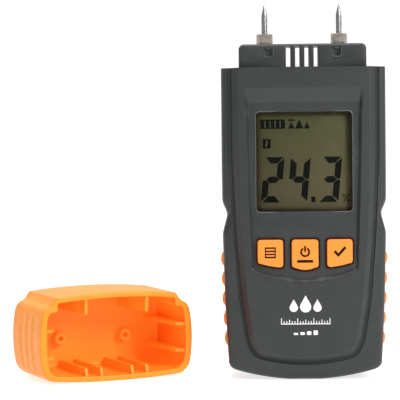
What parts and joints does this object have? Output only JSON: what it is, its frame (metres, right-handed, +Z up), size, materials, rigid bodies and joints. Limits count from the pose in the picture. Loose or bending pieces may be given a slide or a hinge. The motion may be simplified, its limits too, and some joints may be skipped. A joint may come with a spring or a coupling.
{
  "type": "pin-type moisture meter",
  "caption": "Handheld pin-type moisture meter for timber and flooring with a display, push buttons, rubber side grips and a separate protective cap.",
  "frame": {"origin": "middle of the flat patch at the meter's lower edge, on which it stands upright", "axes": "+Z up along the meter towards its probe pins, the display and keys face -Y, +X to the right seen from the front"},
  "size_m": [0.1407, 0.0544, 0.1388],
  "materials": {
    "housing": "fine spark-eroded dark grey moulding",
    "orange_plastic": "satin orange moulding",
    "orange_rubber": "soft orange rubber",
    "lens": "clear polished window",
    "display": "olive grey liquid-crystal display",
    "inner_plastic": "natural nylon",
    "contact_rubber": "dark silicone rubber",
    "board": "green solder mask",
    "chip": "black moulding compound",
    "steel": "polished steel",
    "nickel": "warm nickel plating",
    "brass": "turned brass",
    "screw": "zinc plated steel",
    "battery_case": "printed metal jacket",
    "lead_red": "red wire sleeve",
    "lead_black": "black wire sleeve"
  },
  "bodies": {
    "meter": {"front_cover": "housing", "rear_cover": "housing", "probe_block": "housing", "display_lens": "lens", "display_glass": "display", "display_holder": "inner_plastic", "contact_rubber_upper": "contact_rubber", "contact_rubber_lower": "contact_rubber", "main_board": "board", "controller_chip": "chip", "amplifier_chip": "chip", "crystal": "steel", "buzzer": "chip", "keypad_mat": "contact_rubber", "battery_9v": "battery_case", "battery_snap": "chip", "battery_foam": "contact_rubber", "lead_red": "lead_red", "lead_black": "lead_black", "side_grip_left": "orange_rubber", "side_grip_right": "orange_rubber", "collet_left": "brass", "collet_right": "brass", "contact_strip_left": "brass", "contact_strip_right": "brass", "case_screw_1": "screw", "case_screw_2": "screw", "case_screw_3": "screw", "case_screw_4": "screw", "board_screw_1": "screw", "board_screw_2": "screw", "board_screw_3": "screw", "board_screw_4": "screw"},
    "battery_door": {"battery_door": "housing"},
    "button_menu": {"button_menu": "orange_plastic"},
    "button_power": {"button_power": "orange_plastic"},
    "button_set": {"button_set": "orange_plastic"},
    "nut_left": {"collet_nut_left": "nickel"},
    "nut_right": {"collet_nut_right": "nickel"},
    "pin_left": {"probe_pin_left": "steel"},
    "pin_right": {"probe_pin_right": "steel"},
    "cap": {"protective_cap": "orange_plastic"}
  },
  "joints": [
    {"name": "battery_door_hinge", "type": "hinge", "parent": "meter", "child": "battery_door", "pos_m": [0, 0.0143, 0.0561], "axis": [1, 0, 0], "range_deg": [0, 75]},
    {"name": "button_menu_press", "type": "slide", "parent": "meter", "child": "button_menu", "axis": [0, 1, 0], "range_m": [0, 0.0008], "stiffness_N_per_m": 1500},
    {"name": "button_power_press", "type": "slide", "parent": "meter", "child": "button_power", "axis": [0, 1, 0], "range_m": [0, 0.0008], "stiffness_N_per_m": 1500},
    {"name": "button_set_press", "type": "slide", "parent": "meter", "child": "button_set", "axis": [0, 1, 0], "range_m": [0, 0.0008], "stiffness_N_per_m": 1500},
    {"name": "nut_left_turn", "type": "hinge", "parent": "meter", "child": "nut_left", "pos_m": [-0.0138, 0.002, 0.1255], "axis": [0, 0, 1], "continuous": true},
    {"name": "nut_right_turn", "type": "hinge", "parent": "meter", "child": "nut_right", "pos_m": [0.0138, 0.002, 0.1255], "axis": [0, 0, 1], "continuous": true},
    {"name": "pin_left_draw", "type": "slide", "parent": "meter", "child": "pin_left", "axis": [0, 0, 1], "range_m": [0, 0.018]},
    {"name": "pin_right_draw", "type": "slide", "parent": "meter", "child": "pin_right", "axis": [0, 0, 1], "range_m": [0, 0.018]},
    {"name": "cap_draw_off", "type": "slide", "parent": "meter", "child": "cap", "axis": [-0.4446, 0.8957, 0], "range_m": [0, 0.06]}
  ]
}
